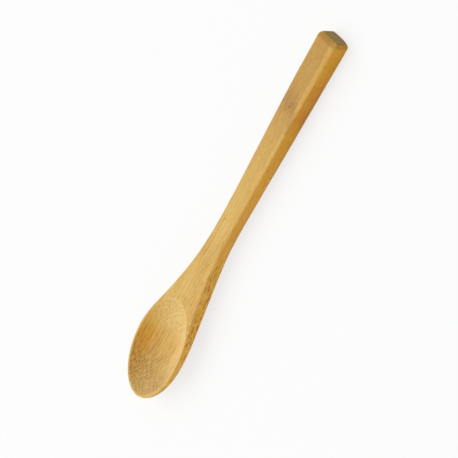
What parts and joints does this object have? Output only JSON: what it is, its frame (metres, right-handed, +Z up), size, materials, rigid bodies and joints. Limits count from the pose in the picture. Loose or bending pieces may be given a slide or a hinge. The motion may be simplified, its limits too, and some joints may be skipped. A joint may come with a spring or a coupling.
{
  "type": "tea spoon",
  "caption": "Small straight bamboo spoon with an oval hollowed bowl, a waist and a flat-fronted handle, for scooping dry tea, spice or salt.",
  "frame": {"origin": "on the table, under the middle of the spoon as it lies on its back", "axes": "+X from the bowl's tip to the handle's end, +Y to the spoon's left seen from the front with the bowl down, +Z up out of the bowl"},
  "size_m": [0.1407, 0.023, 0.0069],
  "materials": {
    "bamboo": "satin oiled",
    "light_bamboo": "satin oiled",
    "glue": "cured, flush with the wood"
  },
  "bodies": {
    "root": {"core_lath": "bamboo", "left_bowl_lath": "bamboo", "edge_lath": "light_bamboo", "right_bowl_lath": "light_bamboo", "core_glue_line": "glue", "left_glue_line": "glue", "right_glue_line": "glue"}
  },
  "joints": []
}
